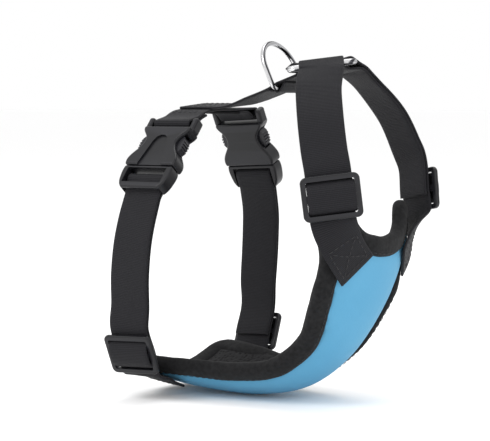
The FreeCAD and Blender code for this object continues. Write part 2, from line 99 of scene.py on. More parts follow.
BACK_PATH = [(-38, 166.25), (-24, 166.25), (-11, 166.3), (-2, 167.4), (11, 171.4), (19, 174.0),
             (24.5, 176.1)]
NECK_RING_REAR = Vector((41.5, 0, 186.4))
NECK_RING_LENGTH = 35.2
NECK_RING_HALF = 20.3
NECK_RING_SLOPE = 8.0
LEASH_BAR_AT = Vector((30.5, 0, 176.5))
LEASH_WIRE_RADIUS = 1.4
LEASH_GAP = 0.45
KEEPER_THICK = 0.9
BACK_ROLL = 5.0         # degrees that the strap's rear end leans to the near side
BACK_ROLL_FROM = 8.0    # the strap starts to lean here, and leans fully 18 further back
BACK_SEAMS = [(22.6, 175.5), (24.0, 175.5), (36.4, 180.0), (37.8, 180.0)]   # rows beside the leash bar
ARCH_SEAMS = {"right": -19.5, "left": 20.5}     # rows across the strap over the back, beside its laps

RIGHT_SHOULDER_SLIDER = (Vector((86.5, 44, 118)), Vector((0.62, 0.78, -0.05)), Vector((-0.12, 0.04, 0.99)))
LEFT_SHOULDER_SLIDER = (Vector((86.5, 47.5, 118)), Vector((0.42, 0.90, -0.05)), Vector((-0.14, 0.10, 0.98)))
GIRTH_SLIDER = (Vector((-34.5, 59.5, 27.5)), Vector((0.06, 0.92, -0.38)), Vector((-0.02, 0.38, 0.92)))
RIGHT_SHOULDER_ROWS = [
    (81, 42.5, 144, 0.57, 0.80, 0.08),
    (75.5, 37.5, 161, 0.54, 0.80, 0.18),
    (68, 27.5, 177, 0.45, 0.78, 0.40),
]
LEFT_SHOULDER_ROWS = [
    (80.5, 47.5, 144, 0.35, 0.93, 0.08),
    (75.5, 40.5, 161, 0.34, 0.90, 0.25),
    (68, 29, 177, 0.34, 0.80, 0.45),
]
SHOULDER_LOWER = [(6.05, 24, 1.7), (6.65, 34, 3.0)]
GIRTH_STATION = 0.56    # where on the pad the girth straps are sewn
GIRTH_LOWER = [(27, 2.2), (34, 3.0), (41, 3.9)]
GIRTH_BEND_END = (-28, 55, 116)         # where a girth strap's bend ends, below its plug; nothing uses it further
RIGHT_GIRTH_ROWS = [
    (-34.0, 65.2, 54, 0.05, 1, 0.0),
    (-32.8, 66.9, 70, 0.04, 1, 0.02),
    (-31.0, 67.1, 87, 0.02, 0.99, 0.1),
    (-28.8, 65.7, 102, 0.01, 0.94, 0.32),
]
LEFT_GIRTH_ROWS = [
    (-34.6, 64.8, 57, -0.02, 1, -0.02),
    (-33.2, 64.4, 74, -0.05, 1, 0.05),
    (-31.3, 62.6, 88.5, -0.04, 0.98, 0.16),
    (-29.2, 59.6, 102, -0.02, 0.94, 0.32),
]
ARCH_ROWS = [
    (-24.0, 159.9, -0.50, 0.86),
    (-17.0, 162.7, -0.30, 0.95),
    (-9.0, 163.9, -0.10, 1.0),
    (0.0, 164.2, 0.0, 1.0),
    (8.0, 164.2, 0.0, 1.0),
    (17.0, 164.3, 0.0, 1.0),
    (26.5, 164.6, 0.10, 1.0),
]
ARCH_OUT = {-1: Vector((0, -0.64, 0.77)), 1: Vector((0, 0.34, 0.94))}


def place(p):
    return (p - GIRTH_CENTRE) * MM


def blend_rows(rows, per_span):
    """Smooth rows of numbers by a curve that passes through each of them."""
    out = []
    for i in range(len(rows) - 1):
        a, b = rows[max(i - 1, 0)], rows[i]
        c, d = rows[i + 1], rows[min(i + 2, len(rows) - 1)]
        for k in range(per_span):
            t = k / per_span
            out.append(tuple(
                0.5 * (2 * q + (r - p) * t + (2 * p - 5 * q + 4 * r - s) * t * t
                       + (3 * q - p - 3 * r + s) * t ** 3)
                for p, q, r, s in zip(a, b, c, d)
            ))
    out.append(tuple(rows[-1]))
    return out


# ---- chest pad surface

PER_STATION = 12        # rows of the smoothed pad for each of its stations
PAD = blend_rows(PAD_STATIONS, PER_STATION)


def pad_row(s):
    """The pad's (x, z, half width, rise at the sides) at a station, which may lie between two of them."""
    at = max(0.0, min(s, len(PAD_STATIONS) - 1.0)) * PER_STATION
    i = min(int(at), len(PAD) - 2)
    t = at - i
    return [a + (b - a) * t for a, b in zip(PAD[i], PAD[i + 1])]


def on_pad(s, y, depth):
    """The point at a depth below the pad's outer face, and the unit outward vector there."""
    x, z, half, rise = pad_row(s)
    before, after = pad_row(s - 0.2), pad_row(s + 0.2)
    along = Vector((after[0] - before[0], 0, after[1] - before[1])).normalized()
    inward = Vector((-along.z, 0, along.x))
    slope = 2 * rise * y / half ** 2
    normal = (inward - Vector((0, slope, 0))).normalized()
    point = Vector((x, y, z)) + inward * (rise * (y / half) ** 2)
    return point + normal * depth, -normal


def pad_height(y, z, depth):
    """The station at which the pad reaches height z at a given y."""
    low, high = 4.0, len(PAD_STATIONS) - 1.0
    for _ in range(30):
        middle = (low + high) / 2
        if on_pad(middle, y, depth)[0].z < z:
            low = middle
        else:
            high = middle
    return low


def neckline(y, inset):
    """The station of the neckline at a given y, that far below the pad's top edge."""
    radius = NECKLINE_RADIUS + inset
    z = NECKLINE_Z - math.sqrt(radius ** 2 - min(abs(y), radius * 0.9) ** 2)
    return pad_height(y, z, ROLL_DEPTH)


# ---- mesh helpers

def mesh_object(name, verts, faces):
    mesh = bpy.data.meshes.new(name)
    mesh.from_pydata([place(v) for v in verts], [], faces)
    mesh.validate()
    bm = bmesh.new()
    bm.from_mesh(mesh)
    bmesh.ops.recalc_face_normals(bm, faces=bm.faces)
    bm.to_mesh(mesh)
    bm.free()
    for polygon in mesh.polygons:
        polygon.use_smooth = True
    obj = bpy.data.objects.new(name, mesh)
    bpy.context.scene.collection.objects.link(obj)
    return obj


def number_attribute(obj, name, values):
    attribute = obj.data.attributes.new(name, "FLOAT", "POINT")
    attribute.data.foreach_set("value", values)


def apply_modifiers(obj):
    depsgraph = bpy.context.evaluated_depsgraph_get()
    made = bpy.data.meshes.new_from_object(obj.evaluated_get(depsgraph))
    obj.modifiers.clear()
    obj.data = made
    return obj


def resample(path, step):
    """Points and normals at an even spacing along a path of (point, normal)."""
    out = [path[0]]
    left = step
    for (p, n), (q, m) in zip(path, path[1:]):
        length = (q - p).length
        done = 0.0
        while length - done >= left:
            done += left
            t = done / length
            out.append((p.lerp(q, t), n.lerp(m, t).normalized()))
            left = step
        left -= length - done
    if (out[-1][0] - path[-1][0]).length > step * 0.3:
        out.append(path[-1])
    return out


def web_section(width, thick):
    """A band's outline with rounded selvedges and slightly crowned faces, as (across, out) pairs."""
    radius = thick / 2
    flat = width / 2 - radius
    columns = [flat * k / 5 for k in range(-5, 6)]
    top = [(a, radius * (1 + 0.05 * math.cos(math.pi * a / width))) for a in columns]
    edge = [(radius * math.sin(math.pi * k / 4), radius * math.cos(math.pi * k / 4)) for k in (1, 2, 3)]
    right = [(flat + x, y) for x, y in edge]
    low = [(-a, -h) for a, h in top]
    left = [(-flat - x, -y) for x, y in edge]
    return top + right + low + left


def band(name, path, width=WEB_WIDTH, thick=WEB_THICK, step=1.2):
    """A strap swept along a path of (point, normal), with its own along and across numbers."""
    path = resample(path, step)
    section = web_section(width, thick)
    verts, faces, along_mm, across = [], [], [], []
    count, last, run = len(section), len(path) - 1, 0.0
    for i, (p, n) in enumerate(path):
        along = (path[min(i + 1, last)][0] - path[max(i - 1, 0)][0]).normalized()
        side = along.cross(n).normalized()
        out = side.cross(along).normalized()
        if i:
            run += (p - path[i - 1][0]).length
        for a, h in section:
            verts.append(p + side * a + out * h)
            along_mm.append(run)
            across.append(2 * a / width)
    for i in range(last):
        for j in range(count):
            k = (j + 1) % count
            faces.append((i * count + j, i * count + k, (i + 1) * count + k, (i + 1) * count + j))
    faces.append(tuple(range(count)))
    faces.append(tuple(last * count + j for j in range(count)))
    obj = mesh_object(name, verts, faces)
    number_attribute(obj, "along_mm", along_mm)
    number_attribute(obj, "across", across)
    return obj


def turn_round(centre, start, way, radius, steps=10):
    """Half a turn from the start side, by way of the way side, as (point, outward) pairs."""
    out = []
    for k in range(steps + 1):
        angle = math.pi * k / steps
        spoke = start * math.cos(angle) + way * math.sin(angle)
        out.append((centre + spoke * radius, spoke))
    return out


PER_ROW = 8             # points of a strap's smoothed path for each of its rows


def doubled_path(rows, bar, along, out, radius, single):
    """A strap's path up to a bar, round it and back down behind itself to the row numbered single."""
    smooth = blend_rows([(*p, *n) for p, n in rows], PER_ROW)
    outer, inner = [], []
    for i, row in enumerate(smooth):
        p, n = Vector(row[:3]), Vector(row[3:]).normalized()
        outer.append((p, n))
        if i / PER_ROW > single:
            inner.append((p - n * LAYER_PITCH, -n))
    return outer + turn_round(bar, out, -along, radius) + inner[::-1]


def flat_path(points, across):
    """Give each point of a path in one plane the normal that a band across that plane has."""
    out, last = [], len(points) - 1
    for i, p in enumerate(points):
        along = (points[min(i + 1, last)] - points[max(i - 1, 0)]).normalized()
        out.append((p, across.cross(along).normalized()))
    return out


# ---- materials

def node_maker(name):
    material = bpy.data.materials.new(name)
    material.use_nodes = True
    tree = material.node_tree
    shader = tree.nodes["Principled BSDF"]

    def make(kind, inputs=None, **settings):
        node = tree.nodes.new(kind)
        for key, value in settings.items():
            setattr(node, key, value)
        for key, value in (inputs or {}).items():
            if isinstance(value, bpy.types.NodeSocket):
                tree.links.new(value, node.inputs[key])
            else:
                node.inputs[key].default_value = value
        return node

    return material, shader, make, tree.links


def ramp(make, factor, stops):
    node = make("ShaderNodeValToRGB", {"Fac": factor})
    elements = node.color_ramp.elements
    while len(elements) < len(stops):
        elements.new(0.5)
    for element, (at, colour) in zip(elements, stops):
        element.position = at
        element.color = (*colour, 1)
    return node.outputs["Color"]


# a colour mix node's sockets, by number, because its sockets for other kinds of value share their names
MIX_FACTOR, MIX_A, MIX_B, MIX_COLOUR = 0, 6, 7, 2


def mix(make, factor, a, b):
    node = make("ShaderNodeMix", data_type="RGBA")
    links = node.id_data.links
    for key, value in ((MIX_FACTOR, factor), (MIX_A, a), (MIX_B, b)):
        if isinstance(value, bpy.types.NodeSocket):
            links.new(value, node.inputs[key])
        else:
            node.inputs[key].default_value = value if key == MIX_FACTOR else (*value, 1)
    return node.outputs[MIX_COLOUR]


def math_node(make, operation, *values):
    return make("ShaderNodeMath", dict(enumerate(values)), operation=operation).outputs[0]


def object_space(make):
    return make("ShaderNodeTexCoord").outputs["Object"]


def cloudy(make, where, scale, detail):
    return make("ShaderNodeTexNoise", {"Vector": where, "Scale": scale, "Detail": detail}).outputs["Fac"]


def bumpy(make, shader, height, strength, distance):
    bump = make("ShaderNodeBump", {"Strength": strength, "Distance": distance, "Height": height})
    shader.id_data.links.new(bump.outputs["Normal"], shader.inputs["Normal"])


def spread(make, value, low, high):
    return make("ShaderNodeMapRange", {"Value": value, "To Min": low, "To Max": high}).outputs["Result"]


def surface(shader, **levels):
    """Set uniform values on the shader, such as roughness, specular and sheen."""
    for key, value in levels.items():
        shader.inputs[SOCKETS[key]].default_value = value


SOCKETS = {
    "roughness": "Roughness", "metallic": "Metallic", "specular": "Specular IOR Level",
    "sheen": "Sheen Weight", "sheen_roughness": "Sheen Roughness",
}
RIB_PITCH = 0.95        # millimetres from rib to rib of the webbing
TWILL_PITCH = 0.8       # and from thread to thread across it


def webbing_material():
    """Ribbed nylon webbing: ribs across the strap, a fine twill along each, plain selvedges, and painted
    shade in the grooves with a painted highlight on the crests.
    """
    tone = (0.0080, 0.0078, 0.0096)
    material, shader, make, links = node_maker("webbing")
    along = make("ShaderNodeAttribute", attribute_name="along_mm").outputs["Fac"]
    across = make("ShaderNodeAttribute", attribute_name="across").outputs["Fac"]
    rib = math_node(make, "SINE", math_node(make, "MULTIPLY", along, 2 * math.pi / RIB_PITCH))
    thread = math_node(make, "SINE", math_node(make, "MULTIPLY", across, WEB_WIDTH * math.pi / TWILL_PITCH))
    height = math_node(make, "MULTIPLY", math_node(make, "MULTIPLY_ADD", thread, 0.35, rib), 0.5)
    grain = make("ShaderNodeTexNoise", {"Scale": 900.0, "Detail": 3.0}).outputs["Fac"]
    cloud = make("ShaderNodeTexNoise", {"Scale": 38.0, "Detail": 4.0, "Roughness": 0.65}).outputs["Fac"]
    # the rib colour follows the ribs' and twill's height: painted shade in the grooves and a painted
    # highlight on the crests
    light = tuple(c * 2.8 for c in tone)
    dark = tuple(c * 0.45 for c in tone)
    ribs = ramp(make, math_node(make, "MULTIPLY_ADD", height, 0.5, 0.5),
                [(0.15, dark), (0.55, tone), (0.95, light)])
    worn = mix(make, math_node(make, "MULTIPLY", cloud, 0.35), ribs, tuple(c * 1.9 for c in tone))
    selvedge = ramp(make, math_node(make, "ABSOLUTE", across), [(0.86, (0, 0, 0)), (0.93, (1, 1, 1))])
    colour = mix(make, selvedge, worn, tuple(c * 1.25 for c in tone))
    links.new(colour, shader.inputs["Base Color"])
    both = math_node(make, "ADD", height, math_node(make, "MULTIPLY", grain, 0.7))
    bumpy(make, shader, both, 0.55, 0.00022)
    surface(shader, roughness=0.62, specular=0.15, sheen=0.03, sheen_roughness=0.5)
    return material


def cover_material():
    """Smooth stretch knit in sky blue, with faint clouding and a fine knit bump."""
    material, shader, make, links = node_maker("pad_fabric")
    where = object_space(make)
    cloud = cloudy(make, where, 16.0, 5.0)
    knit = make("ShaderNodeTexVoronoi", {"Vector": where, "Scale": 1500.0}).outputs["Distance"]
    fibre = cloudy(make, where, 700.0, 4.0)
    tone = ramp(make, cloud, [(0.3, (0.090, 0.300, 0.475)), (0.7, (0.112, 0.338, 0.515))])
    colour = mix(make, math_node(make, "MULTIPLY", fibre, 0.22), tone, (0.062, 0.245, 0.42))
    links.new(colour, shader.inputs["Base Color"])
    height = math_node(make, "ADD", math_node(make, "MULTIPLY", knit, 0.6), fibre)
    bumpy(make, shader, height, 0.25, 0.0002)
    surface(shader, roughness=0.72, specular=0.15, sheen=0.05)
    return material


def binding_material():
    """Soft black brushed knit over the rolled edge."""
    material, shader, make, links = node_maker("binding_fabric")
    where = object_space(make)
    nap = cloudy(make, where, 420.0, 6.0)
    crease = cloudy(make, where, 70.0, 3.0)
    colour = ramp(make, nap, [(0.3, (0.004, 0.004, 0.0045)), (0.75, (0.014, 0.014, 0.015))])
    links.new(colour, shader.inputs["Base Color"])
    height = math_node(make, "ADD", nap, math_node(make, "MULTIPLY", crease, 1.5))
    bumpy(make, shader, height, 0.5, 0.0004)
    surface(shader, roughness=0.9, specular=0.15, sheen=0.04, sheen_roughness=0.6)
    return material


def lining_material():
    """Black air mesh with open cells, painted near black inside them as shade."""
    material, shader, make, links = node_maker("pad_mesh")
    where = object_space(make)
    cells = make("ShaderNodeTexVoronoi", {"Vector": where, "Scale": 430.0}).outputs["Distance"]
    cloud = cloudy(make, where, 45.0, 4.0)
    # painted shade: the middle of each open cell is painted near black
    mesh_with_cell_shade = ramp(make, cells, [(0.18, (0.001, 0.001, 0.001)), (0.45, (0.020, 0.020, 0.021))])
    colour = mix(make, math_node(make, "MULTIPLY", cloud, 0.5), mesh_with_cell_shade, (0.012, 0.012, 0.013))
    links.new(colour, shader.inputs["Base Color"])
    bumpy(make, shader, cells, 0.8, 0.0006)
    surface(shader, roughness=0.85, specular=0.15)
    return material


def plastic_material(name, tone):
    """Moulded satin plastic, with a spark eroded grain and a painted highlight that makes its edges a
    little lighter.
    """
    material, shader, make, links = node_maker(name)
    where = object_space(make)
    grain = cloudy(make, where, 1600.0, 3.0)
    smear = cloudy(make, where, 60.0, 4.0)
    edge = make("ShaderNodeNewGeometry").outputs["Pointiness"]
    # painted highlight: pointiness makes the sharp outer edges a little lighter
    painted_edge_highlight = ramp(make, edge, [(0.50, (0, 0, 0)), (0.60, (1, 1, 1))])
    colour = mix(make, painted_edge_highlight, tone, tuple(c * 2.2 for c in tone))
    links.new(colour, shader.inputs["Base Color"])
    links.new(spread(make, smear, 0.28, 0.40), shader.inputs["Roughness"])
    bumpy(make, shader, grain, 0.2, 0.0001)
    surface(shader, specular=0.30)
    return material


# the wire's colour holds a painted reflection of dark and bright bands, set by which way its surface faces
PAINTED_REFLECTION_WAY = (0.80, 0.56, -0.2)     # the streak lies along the wire's side that faces this way


def wire_material():
    """Bright plated steel wire, with hairline scuffs and a painted reflection: the dark and bright bands
    such wire shows in a pale room, laid on its colour by which way its surface faces.
    """
    material, shader, make, links = node_maker("ring_metal")
    where = object_space(make)
    scuff = cloudy(make, where, 800.0, 5.0)
    # noise that wobbles the painted reflection's bands
    reflection_wobble = cloudy(make, where, 120.0, 2.0)
    normal = make("ShaderNodeNewGeometry").outputs["Normal"]
    facing = make("ShaderNodeVectorMath", {0: normal, 1: PAINTED_REFLECTION_WAY}, operation="DOT_PRODUCT")
    turn = math_node(make, "ADD", facing.outputs["Value"], math_node(make, "MULTIPLY", reflection_wobble, 0.3))
    level = make("ShaderNodeMapRange", {"Value": turn, "From Min": -1.0, "From Max": 1.3})
    # painted reflection: dark and bright bands by the surface's facing
    painted_reflection = ramp(make, level.outputs["Result"], [
        (0.08, (0.16, 0.16, 0.17)), (0.17, (0.62, 0.62, 0.63)), (0.44, (0.72, 0.72, 0.73)),
        (0.52, (0.05, 0.05, 0.055)), (0.68, (0.03, 0.03, 0.035)), (0.76, (0.50, 0.50, 0.51)),
        (0.95, (0.24, 0.24, 0.25))])
    links.new(painted_reflection, shader.inputs["Base Color"])
    links.new(spread(make, scuff, 0.10, 0.24), shader.inputs["Roughness"])
    surface(shader, metallic=1.0)
    return material


def thread_material():
    material, shader, make, links = node_maker("thread")
    where = object_space(make)
    twist = make("ShaderNodeTexWave", {"Vector": where, "Scale": 900.0, "Distortion": 2.0}).outputs["Fac"]
    links.new(ramp(make, twist, [(0.2, (0.005, 0.005, 0.006)), (0.8, (0.018, 0.018, 0.020))]),
              shader.inputs["Base Color"])
    surface(shader, roughness=0.6)
    return material


MATERIALS = {
    "webbing": webbing_material(),
    "cover": cover_material(),
    "binding": binding_material(),
    "lining": lining_material(),
    "buckle": plastic_material("buckle_plastic", (0.0065, 0.0065, 0.0080)),
    "slider": plastic_material("slider_plastic", (0.0065, 0.0065, 0.0080)),
    "wire": wire_material(),
    "thread": thread_material(),
}


def finish_piece(obj, material, slot, body=None, *replaced):
    obj.data.materials.clear()
    obj.data.materials.append(MATERIALS[material])
    if replaced:
        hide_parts(*replaced)
    if body:
        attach(obj, body)
    return obj


# ---- hard pieces keep their CAD shape

for node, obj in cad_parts.items():
    if "buckle" in node:
        kind = "buckle"
    elif node.endswith("slider"):
        kind = "slider"
    elif node.endswith("ring"):
        kind = "wire"
    else:
        continue
    obj.data.materials.clear()
    obj.data.materials.append(MATERIALS[kind])


# ---- stitching

STITCH_STEP = 0.4
STITCH_SIDES = 6
# a stitch's outline: share of its length, share of its radius, and its lift off the face
STITCH_SHAPE = [
    (0.0, 0.35, -0.25),
    (0.12, 0.85, 0.0),
    (0.5, 1.0, 0.08),
    (0.88, 0.85, 0.0),
    (1.0, 0.35, -0.25),
]


def stitches(name, path, length=2.6, gap=1.1, radius=0.28):
    """A row of thread stitches, each a short rounded bar, on a path of (point, normal)."""
    path = resample(path, STITCH_STEP)
    verts, faces = [], []
    pitch = length + gap
    total = (len(path) - 1) * STITCH_STEP
    count = max(1, int(total / pitch))
    for k in range(count):
        a = path[int((k * pitch + gap / 2) / STITCH_STEP)]
        b = path[min(int((k * pitch + gap / 2 + length) / STITCH_STEP), len(path) - 1)]
        along = b[0] - a[0]
        normal = (a[1] + b[1]).normalized()
        side = along.cross(normal).normalized()
        base = len(verts)
        for t, r, lift in STITCH_SHAPE:
            centre = a[0] + along * t + normal * lift
            for j in range(STITCH_SIDES):
                angle = 2 * math.pi * j / STITCH_SIDES
                verts.append(centre + (side * math.cos(angle) + normal * math.sin(angle)) * (radius * r))
        starts = [base + STITCH_SIDES * i for i in range(len(STITCH_SHAPE))]
        rings = [range(start, start + STITCH_SIDES) for start in starts]
        for low, high in zip(rings, rings[1:]):
            for j in range(STITCH_SIDES):
                m = (j + 1) % STITCH_SIDES
                faces.append((low[j], low[m], high[m], high[j]))
        faces.append(tuple(rings[0]))
        faces.append(tuple(rings[-1]))
    return finish_piece(mesh_object(name, verts, faces), "thread", "webbing", "harness")


def strip_frame(path, at, aside, lift):
    """A point on a strap's face, at millimetres along it, aside from its middle and lifted off it."""
    run, last = 0.0, len(path) - 1
    for i in range(last):
        p, n = path[i]
        q, m = path[i + 1]
        length = (q - p).length
        if run + length >= at or i == last - 1:
            t = 0.0 if length == 0 else (at - run) / length
            along = (q - p).normalized()
            normal = n.lerp(m, t).normalized()
            side = along.cross(normal).normalized()
            return p.lerp(q, t) + side * aside + normal * lift, normal
        run += length
    return path[-1]


SEAM_LIFT = WEB_THICK / 2 + 0.05
SEAM_STEP = 0.8


def seam(name, path, corners):
    """Stitches on a strap's face through corners given as (along, aside)."""
    route = []
    for (a0, s0), (a1, s1) in zip(corners, corners[1:]):
        steps = max(2, int(math.hypot(a1 - a0, s1 - s0) / SEAM_STEP))
        for k in range(steps):
            t = k / steps
            route.append(strip_frame(path, a0 + (a1 - a0) * t, s0 + (s1 - s0) * t, SEAM_LIFT))
    route.append(strip_frame(path, *corners[-1], SEAM_LIFT))
    return stitches(name, route)


BOX_HALF = 9.3          # half the width of a sewn box
ROW_HALF = 10.6         # half the length of a row of stitches across a strap


def box_seam(name, path, start, length):
    """The usual sewn box with a cross in it."""
    half, end = BOX_HALF, start + length
    seam(name + "_box", path, [(start, -half), (end, -half), (end, half), (start, half), (start, -half)])
    seam(name + "_cross_a", path, [(start + 1, 1 - half), (end - 1, half - 1)])
    seam(name + "_cross_b", path, [(start + 1, half - 1), (end - 1, 1 - half)])


def across_seam(name, path, at):
    seam(name, path, [(at, -ROW_HALF), (at, ROW_HALF)])


def run_to(path, spot):
    """Millimetres along a path to the point nearest a spot."""
    best = min(range(len(path)), key=lambda i: (path[i][0] - spot).length)
    return sum((b[0] - a[0]).length for a, b in zip(path[:best], path[1:best + 1]))


def slider_place(side, point, outward, up):
    point, outward, up = (Vector((v.x, side * v.y, v.z)) for v in (point, outward, up))
    up = up.normalized()
    return point, (outward - up * outward.dot(up)).normalized(), up


def slider_flat(point, outward, up):
    return [(point + up * (SLIDER_FLAT * k), outward) for k in (-1, 0, 1)]


# ---- straps

def buckle_frame(side):
    bar, y, forward = BUCKLES[side]
    y = y.normalized()
    x = forward * side
    x = (x - y * x.dot(y)).normalized()
    return bar, x, y, x.cross(y)


def neck_ring_ahead():
    slope = math.radians(NECK_RING_SLOPE)
    return Vector((math.cos(slope), 0, math.sin(slope)))


def shoulder_path(side, slider, rows):
    ahead = neck_ring_ahead()
    rear = NECK_RING_REAR + Vector((0, side * NECK_RING_HALF, 0))
    front = NECK_RING_REAR + ahead * NECK_RING_LENGTH
    way = (front - rear).normalized()
    bar = (rear + front) * 0.5
    out = Vector((0.1, side * 0.3, 1))
    out = (out - way * out.dot(way)).normalized()
    along = out.cross(way)
    if along.y * side < 0:
        along = -along
    stations = [on_pad(s, side * y, -clear) for s, y, clear in SHOULDER_LOWER]
    stations += slider_flat(*slider)
    stations += [(Vector((x, side * y, z)), Vector((nx, side * ny, nz)).normalized())
                 for x, y, z, nx, ny, nz in rows]
    stations.append((bar + along * 7 + out * 1.2, out))
    radius = WIRE_RADIUS + RING_GAP + WEB_THICK / 2
    return doubled_path(stations, bar, along, out, radius, len(SHOULDER_LOWER) + 0.7)


def girth_path(side, slider, rows):
    origin, x, y, z = buckle_frame(side)
    bar = origin + y * PLUG_BAR_Y + z * PLUG_BAR_Z
    stations = [on_pad(GIRTH_STATION, side * reach, -clear) for reach, clear in GIRTH_LOWER]
    stations += slider_flat(*slider)
    stations += [(Vector((px, side * py, pz)), Vector((nx, side * ny, nz)).normalized())
                 for px, py, pz, nx, ny, nz in rows]
    stations.append((bar + y * 9 - z * 0.9, z))
    radius = PLUG_BAR_RADIUS + SOFT_GAP + WEB_THICK / 2
    return doubled_path(stations, bar, y, z, radius, len(GIRTH_LOWER) + 0.7)


def wrap_path(centre, x, y, z):
    """Webbing up through a slider's lower slot, over its bar and down through the upper slot."""
    top = SLIDER_THICK / 2 + SOFT_GAP + WEB_THICK / 2
    low = -0.9
    shape = [(-8.0, low), (-6.6, top * 0.35), (-4.2, top * 0.92), (0, top + 0.15), (4.2, top * 0.92),
             (6.6, top * 0.35), (8.0, low)]
    points = [centre + y * a + z * h for a, h in blend_rows(shape, 5)]
    return flat_path(points, x)


def girth_top_path():
    """Over the back from one buckle's bar to the other's, with a lap under each end."""
    radius = BUCKLE_BAR_RADIUS + SOFT_GAP + WEB_THICK / 2
    middle = (BUCKLES[-1][0].x + BUCKLES[1][0].x) / 2
    slant = (BUCKLES[1][0].x - middle) / BUCKLES[1][0].y
    arch = [(Vector((middle + slant * y, y, z)), Vector((0, ny, nz)).normalized())
            for y, z, ny, nz in ARCH_ROWS]
    ends = {}
    for side, rows in ((-1, arch), (1, arch[::-1])):
        bar, x, _, _ = buckle_frame(side)
        out = (ARCH_OUT[side] - x * ARCH_OUT[side].dot(x)).normalized()
        way = out.cross(x)
        way = way if way.y * side > 0 else -way
        lap = [(p - n * LAYER_PITCH, -n) for p, n in rows[:2]]
        ends[side] = turn_round(bar, out, way, radius, 8) + lap
    rows = ends[-1][::-1] + arch + ends[1]
    return [(Vector(r[:3]), Vector(r[3:]).normalized()) for r in blend_rows([(*p, *n) for p, n in rows], 4)]


def around_leash_bar(radius, angles):
    turn = [math.radians(angle) for angle in angles]
    return [LEASH_BAR_AT + Vector((math.cos(a), 0, math.sin(a))) * radius for a in turn]


def back_paths():
    """The back strap over the leash ring's bar to the neck ring, and the tape under that bar."""
    radius = WIRE_RADIUS + RING_GAP + WEB_THICK / 2
    reach = LEASH_WIRE_RADIUS + LEASH_GAP
    path = [Vector((x, 0, z)) for x, z in BACK_PATH]
    before_bar = path[-1]
    path += around_leash_bar(reach + WEB_THICK / 2, (130, 118, 106))
    after_bar = path[-1]
    ahead = (NECK_RING_REAR - Vector((0, 0, radius)) - path[-1]).normalized()
    up = Vector((-ahead.z, 0, ahead.x))
    lean = math.degrees(math.atan2(ahead.z, ahead.x))
    sink = WEB_THICK / 2 + KEEPER_THICK / 3
    tape = [before_bar - Vector((0, 0, sink))]
    tape += around_leash_bar(reach + KEEPER_THICK / 2, [lean - angle for angle in (140, 115, 90, 65, 40)])
    tape.append(after_bar + ahead * 6 - up * sink)
    path += [NECK_RING_REAR - up * radius - ahead * 3]
    path += [p for p, _ in turn_round(NECK_RING_REAR, -up, ahead, radius, 8)]
    path += [NECK_RING_REAR + up * (radius - 1.2) - ahead * 4.5]
    back, tape = [flat_path([Vector(p) for p in blend_rows([tuple(p) for p in points], 4)],
                            Vector((0, -1, 0))) for points in (path, tape)]
    rolled = []
    for i, (p, n) in enumerate(back):
        share = max(0.0, min(1.0, (BACK_ROLL_FROM - p.x) / 18.0)) if i < len(back) / 2 else 0.0
        rolled.append((p, Matrix.Rotation(math.radians(BACK_ROLL * share), 3, "X") @ n))
    return rolled, tape


def build_straps():
    arch = girth_top_path()
    back, tape = back_paths()
    finish_piece(band("girth_top_webbing", arch), "webbing", "webbing", "harness", "girth_top_strap")
    finish_piece(band("back_webbing", back), "webbing", "webbing", "harness", "back_strap")
    box_seam("back_rear_stitch", back, 2.6, 19.0)
    tape_band = band("leash_ring_tape", tape, WEB_WIDTH - 0.6, KEEPER_THICK)
    finish_piece(tape_band, "webbing", "webbing", "harness")
    for k, (x, z) in enumerate(BACK_SEAMS):
        across_seam("back_ring_stitch_%d" % k, back, run_to(back, Vector((x, 0, z))))
    for label, y in ARCH_SEAMS.items():
        at = run_to(arch, Vector((-28.2, y, 163.6)))
        for k in range(2):
            across_seam("%s_arch_stitch_%d" % (label, k), arch, at + 2 * k)
    for label, side, place_of, rows, girth_rows in (
            ("right", -1, RIGHT_SHOULDER_SLIDER, RIGHT_SHOULDER_ROWS, RIGHT_GIRTH_ROWS),
            ("left", 1, LEFT_SHOULDER_SLIDER, LEFT_SHOULDER_ROWS, LEFT_GIRTH_ROWS)):
        shoulder = slider_place(side, *place_of)
        path = shoulder_path(side, shoulder, rows)
        finish_piece(band(label + "_shoulder_webbing", path), "webbing", "webbing", "harness",
                     label + "_shoulder_strap")
        box_seam(label + "_shoulder_stitch", path, 3.0, 17.0)
        girth = slider_place(side, *GIRTH_SLIDER)
        path = girth_path(side, girth, girth_rows)
        strap = finish_piece(band(label + "_girth_webbing", path), "webbing", "webbing", None,
                             label + "_girth_strap")
        x, y, z = GIRTH_BEND_END
        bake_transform(strap)
        box_seam(label + "_girth_stitch", path, 2.6, 14.0)
        for part, (point, normal, up) in (("shoulder", shoulder), ("girth", girth)):
            centre = point + normal * SLIDER_STANDOFF
            x = up.cross(normal)
            piece = band(label + "_" + part + "_wrap_webbing", wrap_path(centre, x, up, normal),
                         WRAP_WIDTH, step=0.8)
            node = label + "_" + part + "_slider"
            finish_piece(piece, "webbing", "webbing", node, node + "_wrap")


# ---- chest pad

PAD_ROWS = 44
PAD_COLUMNS = 26
COVER_REAR = 0.42       # where the cover's rear edge lies, in pad stations
LINING_REAR = 0.38
COVER_DEPTH = 5.2       # below the pad's outer face, as are the lining's two depths
LINING_DEPTHS = (5.6, 6.6)


def pad_grid(inset, rear, depth_of):
    """Points over the pad inside its rolled edge, as rows from the rear to the neckline."""
    grid = []
    for i in range(PAD_ROWS + 1):
        t = i / PAD_ROWS
        line = []
        for j in range(PAD_COLUMNS + 1):
            u = 2 * j / PAD_COLUMNS - 1
            top = neckline(u * (pad_row(6.9)[2] - inset), inset)
            s = rear + (top - rear) * t
            y = u * (pad_row(s)[2] - inset)
            edge = min(1 - abs(u), 2 * t, 2 * (1 - t))
            line.append(on_pad(s, y, depth_of(edge))[0])
        grid.append(line)
    return grid


